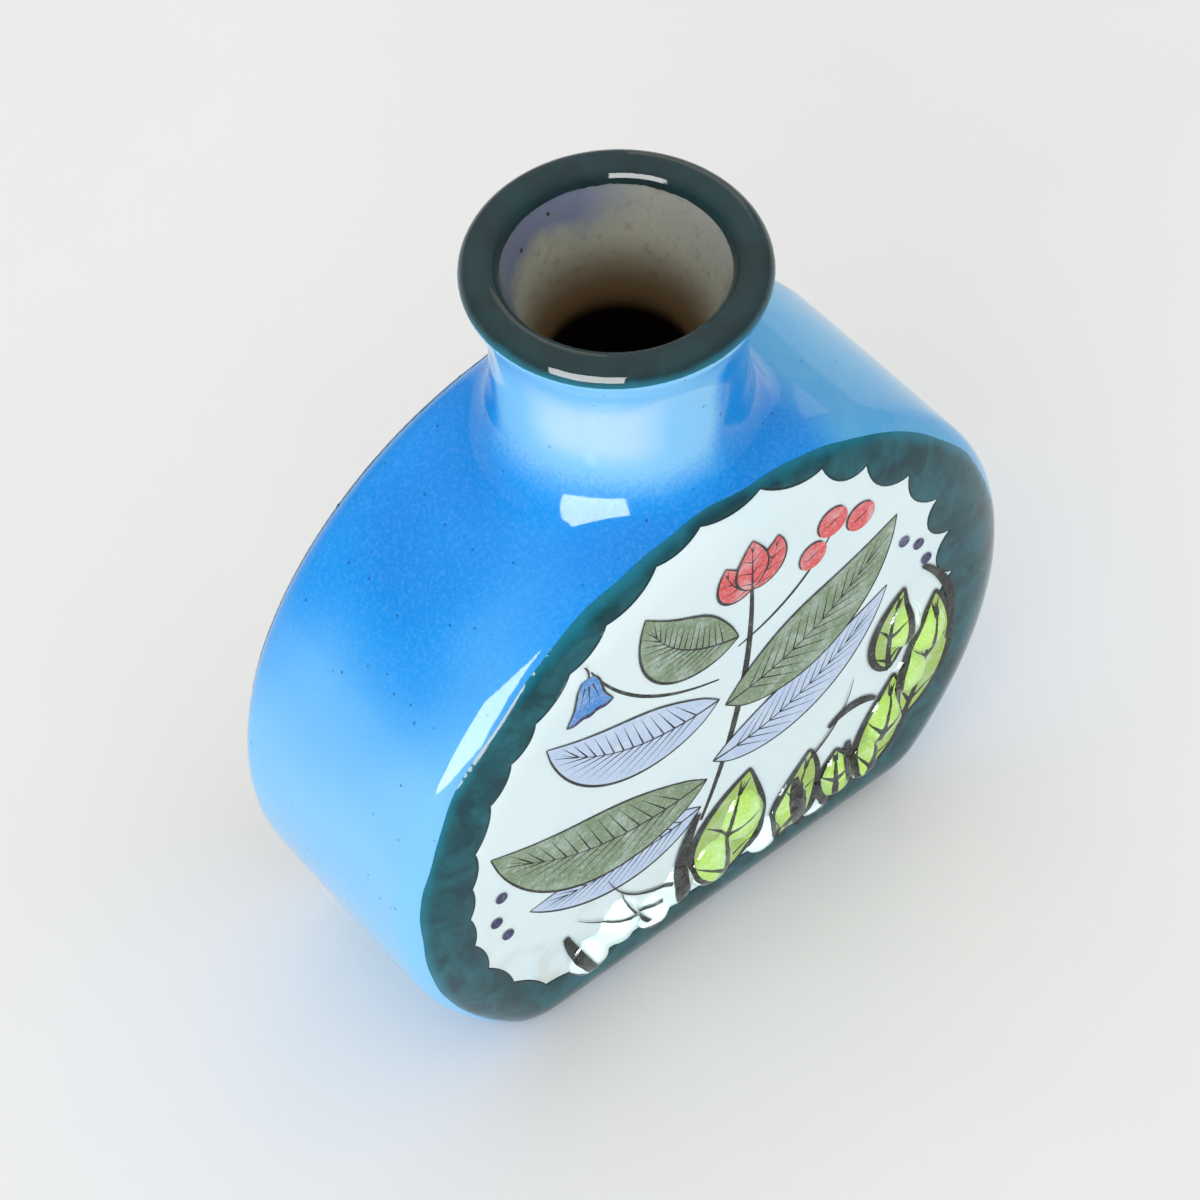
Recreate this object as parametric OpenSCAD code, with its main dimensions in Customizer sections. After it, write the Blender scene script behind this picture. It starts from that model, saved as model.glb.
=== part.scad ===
// Bud vase: a flat round flask of slab-built stoneware with a round neck and a rolled lip,
// coated with separate blue, green, white and clear glazes.
// Millimetres. +Z is up, the front face looks along -Y, the base stands on z = 0.

/* [Flask body] */
// Radius of the round outline, over the glaze
outline_r = 48; // [44:0.5:54]
// Height of the outline's centre above the table
outline_centre_h = 35.5; // [32:0.5:39]
// Width of the flat that takes the point off each lower corner
corner_flat_w = 5.5; // [3:0.25:8]
// Depth from the front face to the back face, over the glaze
body_depth = 40; // [34:0.5:48]
// Radius of the soft edge where a face turns into the band
edge_r = 7.5; // [5:0.5:9]

/* [Clay walls] */
// Thickness of the front slab and the back slab
slab_t = 4.5; // [3.5:0.25:6]
// Thickness of the side band
wall_t = 5; // [4:0.25:6.5]
// Thickness of the base slab, from the table up
base_t = 5.5; // [4:0.25:8]

/* [Neck and lip] */
// Height of the lip's top above the shoulder
neck_h = 25; // [21:0.5:34]
// Outside radius of the neck at its waist
waist_r = 15; // [13.5:0.1:15.6]
// Drop from the lip's top to the waist
waist_drop = 12.5; // [9:0.5:14]
// Radius of the hollow curve from the neck down to the shoulder
root_fillet_r = 8; // [6:0.5:10]
// Height of that curve's top above the shoulder
root_rise = 5; // [4:0.25:7]
// Gap between the neck's root and the edge of the blue band
root_gap = 2; // [0.5:0.25:4]
// Outside radius of the rolled lip
lip_r = 17.7; // [16:0.1:19]
// Radius of the lip's round section
lip_section_r = 2.4; // [2:0.1:2.8]
// Drop from the lip's top to where its green glaze stops, outside
green_drop = 3; // [2.9:0.1:4]
// Radius of the glazed bore
bore_r = 8.25; // [7:0.25:9.5]
// Drop from the lip's top to where the bore starts to widen
throat_drop = 16.5; // [12:0.5:18]

/* [Glaze] */
// Thickness of the glaze coats
glaze_t = 0.5; // [0.3:0.05:0.7]
// Height of the bare clay line above the table
foot_line_h = 1.2; // [0.8:0.1:3]
// Margin between the bare foot's rim and the soft edge
foot_margin = 1; // [0.5:0.25:3]
// Angle round the soft edge where the blue band stops
band_line_deg = 50; // [40:1:60]

/* [White panel] */
// Green border above the panel, from the body's outline
border_top = 3.5; // [3:0.25:8]
// Green border on the panel's left, seen from its own side
border_left = 7.75; // [5:0.25:12]
// Green border on the panel's right
border_right = 11.75; // [8:0.25:16]
// Height of the panel's flat lower edge above the table
border_base = 10; // [7:0.25:14]
// Spacing of the scallop lobes round the panel
lobe_pitch = 9; // [7:0.5:12]
// How far a lobe reaches into the panel
lobe_depth = 1.6; // [0.8:0.1:2.2]

/* [Glaze beads] */
// Number of pooled beads along the panel's lower edge
bead_count = 10; // [4:1:12]
// Distance from bead to bead
bead_pitch = 8; // [7.75:0.25:9]
// Distance of the bead line from the panel's edge
bead_inset = 4; // [2.5:0.25:7]
// Width of a bead
bead_w = 7; // [5:0.25:7.25]
// How far a bead stands out from the face
bead_rise = 1.7; // [0.8:0.1:1.8]
// Place of the first bead along the bead line, from the line's lower left corner
bead_start = -6; // [-12:0.5:4]

/* [Hidden] */
$fn = 96;

body_top = outline_centre_h + outline_r;
half_depth = body_depth / 2;
reach = 3 * (outline_r + body_depth + neck_h);

// The lower corner: its distance from the middle, and the angle that the outline turns through there
corner_x = flat_half(outline_r, outline_centre_h);
corner_turn = acos(outline_centre_h / outline_r);
corner_cut = corner_flat_w / 2 * tan(corner_turn / 2);
base_half_w = corner_x - corner_flat_w / 2 / cos(corner_turn / 2);

// The blue band stops at this distance from the mid plane
band_line_y = half_depth - edge_r + edge_r * sin(band_line_deg);

// The clay between the slabs, and the hollow inside it
slab_inner_y = half_depth - glaze_t - slab_t;
cavity_inset = glaze_t + wall_t;

// Heights of the neck, its root on the band, and the mouth inside the lip
vase_h = body_top + neck_h;
lip_z = vase_h - lip_section_r;
lip_ring_r = lip_r - lip_section_r;
green_z = vase_h - green_drop;
waist_z = vase_h - waist_drop;
throat_z = vase_h - throat_drop;
root_z = body_top + root_rise;
root_r = band_line_y - root_gap;
neck_low_z = body_top - edge_r;
mouth_r = lip_r - 2 * lip_section_r;

// The flare from the waist runs up a little way into the lip's roll: its radius, and the direction in
// which it is met from the roll's centre
flare_overlap = 0.1;
meet_r = lip_section_r - flare_overlap;
waist_out = waist_r - lip_ring_r;
flare_rise = lip_z - waist_z;
flare_r = (flare_rise ^ 2 + waist_out ^ 2 - meet_r ^ 2) / (2 * (meet_r - waist_out));
flare_way = [waist_out + flare_r, -flare_rise] / (flare_r + meet_r);

// The panel's circle, from the borders round it
panel_r = outline_r - (border_left + border_right) / 2;
panel_shift = (border_left - border_right) / 2;
panel_centre_h = body_top - border_top - panel_r - border_base;

// A flat-based round is a circle of radius r whose centre is h above a flat base.
// Half the length of its base, the angle of its arc, and the length all the way round
function flat_half(r, h) = sqrt(r ^ 2 - h ^ 2);
function arc_deg(r, h) = 360 - 2 * acos(h / r);
function rim_length(r, h) = 2 * flat_half(r, h) + r * arc_deg(r, h) * PI / 180;

// The point at distance s along its edge from the base's left end, moved outwards by out
function rim_point(r, h, s, out) =
    let (b = flat_half(r, h), t = (s + rim_length(r, h)) % rim_length(r, h),
         angle = (t - 2 * b) / r * 180 / PI - arc_deg(r, h) / 2 + 90)
    t < 2 * b ? [t - b, -out] : [0, h] + (r + out) * [cos(angle), sin(angle)];

module flat_round(r, h) {
    intersection() {
        translate([0, h])
            circle(r);
        translate([-r, 0])
            square([2 * r, h + r]);
    }
}

// Stands a drawing up in the front view and gives it a depth, centred on the mid plane
module upright(depth) {
    rotate([90, 0, 0])
        linear_extrude(depth, center = true)
            children();
}

// Half of the flask's cross-section: radius across, depth up
module edge_profile(r, e, d) {
    translate([0, -d])
        square([r - e, 2 * d]);
    translate([0, e - d])
        square([r, 2 * (d - e)]);
    for (side = [-1, 1])
        translate([r - e, side * (d - e)])
            circle(e);
}

// Cross-section along the base: depth across, height up, with soft lower edges
module base_profile(inset, e, d) {
    translate([-d, inset + e])
        square([2 * d, reach]);
    translate([e - d, inset])
        square([2 * (d - e), reach]);
    for (side = [-1, 1])
        translate([side * (d - e), inset + e])
            circle(e);
}

// The block that takes off a lower corner of the flask
module corner_block(side, inset) {
    translate([side * corner_x, 0, 0])
        rotate([0, -side * corner_turn / 2, 0])
            translate([-reach / 2, -reach / 2, corner_cut + inset - reach])
                cube(reach);
}

// The whole flask as one rounded solid, shrunk by inset on every side
module flask(inset) {
    e = edge_r - inset;
    d = half_depth - inset;
    difference() {
        intersection() {
            translate([0, 0, outline_centre_h])
                rotate([90, 0, 0])
                    rotate_extrude()
                        edge_profile(outline_r - inset, e, d);
            translate([-reach / 2, 0, 0])
                rotate([90, 0, 90])
                    linear_extrude(reach)
                        base_profile(inset, e, d);
        }
        for (side = [-1, 1])
            corner_block(side, inset);
    }
}

// Everything in front of the plane at distance y before the mid plane
module front_of(y) {
    translate([-reach, -y - reach, -reach])
        cube([2 * reach, reach, 2 * reach]);
}

// Everything between two planes at distance y either side of the mid plane
module between(y) {
    translate([-reach, -y, -reach])
        cube([2 * reach, 2 * y, 2 * reach]);
}

module above(z) {
    translate([-reach, -reach, z])
        cube([2 * reach, 2 * reach, reach]);
}

// A glaze coat lies over the clay flask, and stops above the bare foot
module body_coat() {
    difference() {
        intersection() {
            flask(0);
            above(foot_line_h);
        }
        flask(glaze_t);
    }
}

// The hollow inside the flask, shrunk by inset
module cavity(inset) {
    translate([0, 0, base_t + inset])
        upright(2 * (slab_inner_y - inset))
            flat_round(outline_r - cavity_inset - inset, outline_centre_h - base_t - inset);
}

// The neck's outside as a filled half section, shrunk by inset; the lip's roll is apart
module neck_section(inset) {
    meet = [lip_ring_r, lip_z] + (meet_r - inset) * flare_way;
    translate([0, neck_low_z])
        square([waist_r - inset, lip_z - neck_low_z]);
    translate([0, meet[1] - flare_overlap])
        square([lip_ring_r, lip_z - meet[1] + flare_overlap]);
    difference() {
        translate([0, waist_z])
            square([meet[0], meet[1] - waist_z]);
        translate([waist_r + flare_r, waist_z])
            circle(flare_r + inset);
    }
    difference() {
        translate([0, neck_low_z])
            square([root_r - inset, root_z - neck_low_z]);
        translate([waist_r + root_fillet_r, root_z])
            circle(root_fillet_r + inset);
    }
}

// The bore as a filled half section, widened by grow, from inside the hollow up to the lip
module bore_section(grow) {
    low_z = body_top - cavity_inset - edge_r;
    polygon([[0, low_z], [bore_r + grow, low_z], [bore_r + grow, throat_z],
             [mouth_r + grow, lip_z], [0, lip_z]]);
}

// Cleared above the bore's section, so that no film of the neck is left across the mouth
module mouth_clear(grow) {
    translate([0, lip_z])
        square([mouth_r + grow, flare_overlap]);
}

module lip_section(inset) {
    translate([lip_ring_r, lip_z])
        circle(lip_section_r - inset);
}

// Clay between the neck's outside and its bore, with the rolled lip
module collar_section() {
    difference() {
        neck_section(glaze_t);
        bore_section(glaze_t);
        mouth_clear(glaze_t);
    }
    lip_section(glaze_t);
}

// The coat on the neck's outside and round the lip, as a half section
module collar_coat_section() {
    difference() {
        union() {
            neck_section(0);
            lip_section(0);
        }
        collar_section();
        bore_section(glaze_t);
        mouth_clear(0);
    }
}

// The part of a half section that the lip's green covers
module green_part() {
    translate([0, green_z])
        square(reach);
}

module collar_fill() {
    rotate_extrude()
        neck_section(glaze_t);
}

// The scalloped panel, drawn in the front view
module panel_outline() {
    rim = rim_length(panel_r, panel_centre_h);
    lobes = round(rim / lobe_pitch);
    half_chord = rim / lobes / 2;
    lobe_r = (half_chord ^ 2 + lobe_depth ^ 2) / (2 * lobe_depth);
    translate([panel_shift, border_base])
        difference() {
            flat_round(panel_r, panel_centre_h);
            for (i = [0 : lobes - 1])
                translate(rim_point(panel_r, panel_centre_h, i * rim / lobes, lobe_r - lobe_depth))
                    circle(lobe_r);
        }
}

module face_border() {
    difference() {
        intersection() {
            body_coat();
            front_of(band_line_y);
        }
        upright(2 * body_depth)
            panel_outline();
    }
}

module face_panel() {
    intersection() {
        body_coat();
        front_of(band_line_y);
        upright(2 * body_depth)
            panel_outline();
    }
}

module face_slab() {
    intersection() {
        flask(glaze_t);
        front_of(slab_inner_y);
    }
}

// Clay of the band and the base together, between the two slabs
module middle_ring() {
    difference() {
        intersection() {
            flask(glaze_t);
            between(slab_inner_y);
        }
        cavity(0);
    }
}

// The block that parts the base from the band's ends, reaching up into the hollow
module base_block() {
    translate([-base_half_w, -body_depth, 0])
        cube([2 * base_half_w, 2 * body_depth, 2 * base_t]);
}

module front_slab() color("burlywood") face_slab();

module back_slab() color("burlywood") rotate(180) face_slab();

module side_band() {
    color("tan")
        difference() {
            middle_ring();
            base_block();
            rotate_extrude()
                bore_section(glaze_t);
        }
}

module base_slab() {
    foot_x = base_half_w - foot_margin;
    foot_y = half_depth - edge_r - foot_margin;
    color("peru") {
        intersection() {
            middle_ring();
            base_block();
        }
        translate([-foot_x, -foot_y, 0])
            cube([2 * foot_x, 2 * foot_y, base_t / 2]);
    }
}

module neck_collar() {
    color("tan")
        difference() {
            rotate_extrude()
                collar_section();
            flask(glaze_t);
        }
}

module band_glaze() {
    color("dodgerblue")
        difference() {
            intersection() {
                body_coat();
                between(band_line_y);
            }
            collar_fill();
        }
}

module neck_glaze() {
    color("deepskyblue")
        difference() {
            rotate_extrude()
                difference() {
                    collar_coat_section();
                    green_part();
                }
            flask(0);
        }
}

module lip_glaze() {
    color("darkslategray")
        rotate_extrude()
            intersection() {
                collar_coat_section();
                green_part();
            }
}

module liner_glaze() {
    color("wheat") {
        difference() {
            cavity(0);
            cavity(glaze_t);
            rotate_extrude()
                bore_section(0);
        }
        difference() {
            rotate_extrude()
                difference() {
                    bore_section(glaze_t);
                    bore_section(0);
                }
            cavity(glaze_t);
        }
    }
}

module front_border_glaze() color("darkslategray") face_border();

module front_panel_glaze() color("azure") face_panel();

module back_border_glaze() color("darkslategray") rotate(180) face_border();

module back_panel_glaze() color("azure") rotate(180) face_panel();

module front_glaze_beads() {
    ball_r = ((bead_w / 2) ^ 2 + bead_rise ^ 2) / (2 * bead_rise);
    color("lightcyan")
        difference() {
            for (i = [0 : bead_count - 1]) {
                place = rim_point(panel_r - bead_inset, panel_centre_h - bead_inset,
                                  bead_start + i * bead_pitch, 0);
                translate([panel_shift + place[0], -half_depth - bead_rise + ball_r,
                           border_base + bead_inset + place[1]])
                    sphere(ball_r);
            }
            flask(0);
        }
}

front_slab();
back_slab();
side_band();
base_slab();
neck_collar();
band_glaze();
neck_glaze();
lip_glaze();
liner_glaze();
front_border_glaze();
front_panel_glaze();
back_border_glaze();
back_panel_glaze();
front_glaze_beads();
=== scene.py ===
"""Bud vase: glaze coats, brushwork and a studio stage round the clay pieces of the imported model.

It is laid out as an add-on and run as a script. The property groups hold the sizes and colours, and each
operator models one piece or a group of like pieces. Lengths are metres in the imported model's frame:
+Z is up, and the front face looks along -Y.
"""

import math
import random

import bpy
from bpy.props import FloatProperty, FloatVectorProperty, IntProperty, PointerProperty
from mathutils import Matrix, Vector


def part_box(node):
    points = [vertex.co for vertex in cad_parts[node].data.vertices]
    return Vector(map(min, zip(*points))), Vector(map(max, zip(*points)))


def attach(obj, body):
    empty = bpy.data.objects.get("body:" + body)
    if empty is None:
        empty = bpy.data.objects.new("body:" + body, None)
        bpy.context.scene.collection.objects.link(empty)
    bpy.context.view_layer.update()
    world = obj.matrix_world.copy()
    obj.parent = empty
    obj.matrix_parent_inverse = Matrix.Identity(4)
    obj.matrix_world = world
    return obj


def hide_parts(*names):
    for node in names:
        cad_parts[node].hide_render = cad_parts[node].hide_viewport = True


bl_info = {
    "name": "Bud vase",
    "version": (1, 0, 0),
    "blender": (4, 5, 0),
    "location": "View3D > Sidebar > Bud vase",
    "description": "Models the glazes and brushwork of a slab-built bud vase round its clay pieces",
    "category": "Add Mesh",
}

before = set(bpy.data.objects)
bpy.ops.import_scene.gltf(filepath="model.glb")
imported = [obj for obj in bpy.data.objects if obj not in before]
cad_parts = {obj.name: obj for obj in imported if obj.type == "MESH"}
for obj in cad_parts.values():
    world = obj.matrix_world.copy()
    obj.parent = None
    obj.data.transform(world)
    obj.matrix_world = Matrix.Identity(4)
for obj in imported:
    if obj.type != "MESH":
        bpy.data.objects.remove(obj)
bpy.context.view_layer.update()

MM = 0.001
BODY = "root"
CLAY_NODES = ("front_slab", "back_slab", "side_band", "base_slab", "neck_collar")
SIDES = {"front": -1, "back": 1}

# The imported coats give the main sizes
band_low, band_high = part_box("band_glaze")
lip_low, lip_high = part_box("lip_glaze")
panel_low, panel_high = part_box("front_panel_glaze")
wall_low, wall_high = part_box("side_band")
OUTLINE_R = (band_high.x - band_low.x) / 2
OUTLINE_Z = wall_high.z - (wall_high.x - wall_low.x) / 2
FACE_Y = -panel_low.y


def length(label, description, mm):
    """A size that a user may change, given in millimetres and kept in metres."""
    return FloatProperty(name=label, description=description, default=mm * MM, unit="LENGTH", precision=5)


def measured(label, description, metres):
    """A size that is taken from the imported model."""
    return FloatProperty(name=label, description=description, default=metres, unit="LENGTH", precision=5)


def linear(value):
    """One screen colour value from 0 to 255 as the light that it stands for."""
    share = value / 255
    return share / 12.92 if share <= 0.04045 else ((share + 0.055) / 1.055) ** 2.4


def colour(label, description, *screen):
    """A colour that a user may change, given in screen values."""
    return FloatVectorProperty(name=label, description=description, subtype="COLOR", size=3, min=0, max=1,
                               default=[linear(value) for value in screen])


class BodySizes(bpy.types.PropertyGroup):
    """The flask's outer form, over the glaze."""
    outline_r: measured("Outline radius", "Radius of the round outline", OUTLINE_R)
    outline_z: measured("Outline height", "Height of the outline's centre", OUTLINE_Z)
    corner_r: length("Corner radius", "Radius of the lower corners", 10)
    half_depth: measured("Half depth", "Distance of a face from the mid plane", FACE_Y)
    band_edge_r: length("Band edge radius", "Radius of the soft edge next to the band", 4)
    face_edge_r: length("Face edge radius", "Radius of the soft edge next to a face", 10)
    foot_line: measured("Foot line", "Height where the glaze stops above the table", band_low.z)


class NeckSizes(bpy.types.PropertyGroup):
    """The neck's outer form, its lip and its bore."""
    low_z: length("Buried end", "Height of the neck's hidden lower end", 72)
    root_r: length("Root radius", "Outside radius of the neck's root", 17.5)
    root_z: length("Root height", "Height where the root's hollow curve starts", 88.5)
    root_curve: length("Root curve", "Radius of the root's hollow curve", 8)
    waist_r: length("Waist radius", "Outside radius at the waist", 15)
    waist_z: length("Waist height", "Height of the waist", 96)
    lip_r: measured("Lip radius", "Outside radius of the rolled lip", lip_high.x)
    lip_top: measured("Lip height", "Height of the lip's top", lip_high.z)
    lip_section: length("Lip section", "Radius of the lip's round section", 2.4)
    bore_r: length("Bore radius", "Radius of the glazed bore", 8.25)
    bore_z: length("Bore height", "Height where the bore starts to widen", 92)


class GlazeSizes(bpy.types.PropertyGroup):
    """Thickness and edges of the glaze coats."""
    mesh_size: length("Mesh size", "Spacing of the mesh of the outer form", 0.7)
    set_back: length("Set back", "How far the outer form lies inside the packed model's box", 0.15)
    coat: length("Coat thickness", "Thickness of a coat", 0.3)
    proud: length("Green rise", "How far the green coats stand above the others", 0.1)
    border_y: length("Border line", "Distance of the green border's outer edge from the mid plane", 17.35)
    border_waver: length("Border waver", "How far that edge wanders", 1.0)
    lip_line: length("Lip line", "Height where the green of the lip stops", 106.2)
    edge_line: length("Edge line", "Half the width of the dark line where green meets white", 0.22)


class PanelSizes(bpy.types.PropertyGroup):
    """The scalloped white panels."""
    centre_x: length("Centre", "Sideways place of the panel's centre", -2)
    centre_z: length("Centre height", "Height of the panel's centre", 43)
    radius: length("Radius", "Radius of the panel's round edge", 38.2)
    corner: length("Corner reach", "How far the lower corners reach beyond the round", 3.5)
    drawn_in: length("Drawn in", "How far the upper left side is drawn in from the round", 2.5)
    base_z: length("Base", "Height of the panel's flat lower edge", 10)
    lobes: IntProperty(name="Lobes", description="Number of scallop lobes round a panel", default=31, min=8)
    lobe_least: length("Least lobe", "Reach of the shallowest lobe into the white", 0.6)
    lobe_most: length("Most lobe", "Reach of the deepest lobe into the white", 2.3)


class GlazeColours(bpy.types.PropertyGroup):
    """Colours of the glazes and the clay."""
    blue_deep: colour("Deep blue", "Blue where the glaze is thick", 0, 116, 206)
    blue_mid: colour("Blue", "The main blue", 8, 148, 236)
    # Also the colour of the painted reflection on the neck's pale side
    blue_pale: colour("Pale blue", "Blue where the glaze is thin", 132, 203, 251)
    # Painted reflection of the window on the neck's pale side, not thinner glaze
    blue_painted_reflection: colour("Blue wash", "Blue where the neck's glaze is thinnest", 196, 228, 252)
    # Painted reflection over the shoulder right of the neck
    blue_grey_reflection: colour("Grey blue", "Blue over the shoulder right of the neck", 116, 190, 212)
    cobalt: colour("Cobalt specks", "Small dark specks in the blue", 8, 40, 110)
    green_dark: colour("Dark green", "Green where the glaze is thick", 20, 64, 72)
    green_mid: colour("Green", "The main green", 32, 98, 108)
    green_lip: colour("Lip green", "Green on the lip", 32, 44, 44)
    green_thin: colour("Thin green", "Green where the glaze runs thin", 16, 118, 140)
    white: colour("White", "The panel's white", 230, 246, 248)
    stain: colour("Stain", "Tan stain in the white", 190, 184, 166)
    liner: colour("Liner", "Clear glaze over clay inside the neck", 180, 180, 162)
    liner_dark: colour("Liner shade", "The same, deeper down", 120, 96, 66)
    lavender: colour("Lavender", "Blue haze inside the lip", 126, 134, 158)
    clay: colour("Clay", "Bare fired clay", 176, 146, 108)
    speck: colour("Clay specks", "Iron specks in the clay", 70, 52, 38)
    clear: colour("Clear glaze", "Thick pooled glaze", 226, 232, 224)
    # Painted shade on the beads' turned-away edges
    clear_shaded_edge: colour("Clear edge", "Pooled glaze where it turns away", 150, 162, 150)
    floor: colour("Floor", "The studio floor", 240, 238, 235)


class PaintColours(bpy.types.PropertyGroup):
    """Colours of the brushwork."""
    line: colour("Line", "Brown-black outlines", 15, 13, 11)
    olive: colour("Olive", "Large leaves", 122, 146, 112)
    coral: colour("Coral", "Blooms and berries", 224, 82, 86)
    lime: colour("Lime", "Small leaves", 160, 194, 84)
    navy: colour("Navy", "Dots", 36, 28, 92)
    sky: colour("Sky", "Bells", 56, 136, 216)
    haze: colour("Haze", "Pale blue leaves", 190, 210, 240)


def settings():
    return bpy.context.scene


# Modelling steps that the operators share


def clear_selection():
    if bpy.context.object and bpy.context.object.mode != "OBJECT":
        bpy.ops.object.mode_set(mode="OBJECT")
    bpy.ops.object.select_all(action="DESELECT")


def pick(*objects):
    clear_selection()
    for each in objects:
        each.select_set(True)
    bpy.context.view_layer.objects.active = objects[0]


def edit(obj):
    pick(obj)
    bpy.ops.object.mode_set(mode="EDIT")


def leave_edit():
    bpy.ops.object.mode_set(mode="OBJECT")
    return bpy.context.object


def select_mode(kind):
    bpy.context.tool_settings.mesh_select_mode = [kind == each for each in ("VERT", "EDGE", "FACE")]


def start_line(name, point):
    """Starts a drawn line with one vertex, and stays in edit mode."""
    clear_selection()
    select_mode("VERT")
    bpy.ops.mesh.primitive_plane_add(size=MM, location=(0, 0, 0))
    bpy.context.object.name = name
    bpy.ops.object.mode_set(mode="EDIT")
    bpy.ops.mesh.select_all(action="SELECT")
    bpy.ops.mesh.merge(type="CENTER")
    bpy.ops.transform.translate(value=point)


def line_by(x, y, z):
    bpy.ops.mesh.extrude_region_move(TRANSFORM_OT_translate={"value": (x, y, z)})


def arc_by(centre, degrees, steps):
    """Carries the line on round a centre in the front view; positive angles turn from +X to +Z."""
    bpy.ops.mesh.spin(steps=steps, angle=math.radians(degrees), center=centre, axis=(0, 1, 0))


def close_and_fill():
    bpy.ops.mesh.select_all(action="SELECT")
    bpy.ops.mesh.remove_doubles(threshold=0.002 * MM)
    bpy.ops.mesh.edge_face_add()


def face_outwards():
    bpy.ops.mesh.select_all(action="SELECT")
    bpy.ops.mesh.normals_make_consistent(inside=False)


def lathe(obj, steps):
    """Turns a drawn half section round the vase's axis."""
    edit(obj)
    bpy.ops.mesh.select_all(action="SELECT")
    bpy.ops.mesh.spin(steps=steps, angle=2 * math.pi, center=(0, 0, 0), axis=(0, 0, 1))
    bpy.ops.mesh.select_all(action="SELECT")
    bpy.ops.mesh.remove_doubles(threshold=0.002 * MM)
    face_outwards()
    return leave_edit()


def choose(items, test):
    for item in items:
        item.select = test(item)


def choose_nothing(mesh):
    for items in (mesh.vertices, mesh.edges, mesh.polygons):
        choose(items, lambda item: False)


def modify(obj, kind, **values):
    """Adds a modifier, sets it and applies it."""
    pick(obj)
    modifier = obj.modifiers.new(kind, kind)
    for key, value in values.items():
        setattr(modifier, key, value)
    bpy.ops.object.modifier_apply(modifier=modifier.name)
    return obj


def duplicate(obj, name):
    pick(obj)
    bpy.ops.object.duplicate()
    bpy.context.object.name = name
    return bpy.context.object


def remove(*objects):
    for obj in objects:
        bpy.data.meshes.remove(obj.data)


def weigh(obj, name, weight):
    """Makes a vertex group from a rule on a vertex's place in millimetres."""
    group = obj.vertex_groups.new(name=name)
    for vertex in obj.data.vertices:
        group.add([vertex.index], weight(vertex.co / MM), "REPLACE")
    return name


def fade(value, low, high):
    """0 up to low, 1 from high on, and a soft step between."""
    share = min(max((value - low) / (high - low), 0), 1)
    return share * share * (3 - 2 * share)


def clouds(name, size):
    texture = bpy.data.textures.get(name) or bpy.data.textures.new(name, "CLOUDS")
    texture.noise_scale = size
    texture.noise_depth = 1
    return texture


def two_slots(obj, index):
    """Marks a form's faces with slot 0 and a cutter's with slot 1, so that cut faces can be told apart."""
    for name in ("form", "cutter"):
        obj.data.materials.append(bpy.data.materials.get(name) or bpy.data.materials.new(name))
    for face in obj.data.polygons:
        face.material_index = index
    return obj


def cut(obj, cutter, operation):
    return modify(obj, "BOOLEAN", object=cutter, operation=operation, solver="MANIFOLD")


def drop_cut_faces(obj):
    """Leaves only what was the outer form, as an open sheet."""
    choose_nothing(obj.data)
    choose(obj.data.polygons, lambda face: face.material_index == 1)
    select_mode("FACE")
    edit(obj)
    bpy.ops.mesh.delete(type="FACE")
    bpy.ops.mesh.select_all(action="SELECT")
    bpy.ops.mesh.remove_doubles(threshold=0.01 * MM)
    leave_edit()
    obj.data.materials.clear()
    return obj


def keep_part(obj, test):
    """Deletes the faces whose centre, in millimetres, fails the test."""
    choose_nothing(obj.data)
    choose(obj.data.polygons, lambda face: not test(face.center / MM))
    select_mode("FACE")
    edit(obj)
    bpy.ops.mesh.delete(type="FACE")
    leave_edit()
    return obj


def thicken(obj, thickness):
    return modify(obj, "SOLIDIFY", thickness=thickness, offset=-1, use_rim=True)


def finish_piece(obj, name, material, slot, *nodes):
    """Names a piece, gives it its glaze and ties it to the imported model."""
    obj.name = obj.data.name = name
    obj.data.materials.clear()
    obj.data.materials.append(material)
    obj.vertex_groups.clear()
    for face in obj.data.polygons:
        face.material_index = 0
    pick(obj)
    bpy.ops.object.shade_smooth_by_angle(angle=math.radians(40))
    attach(obj, BODY)
    if nodes:
        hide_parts(*nodes)
    return obj


# Materials


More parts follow.
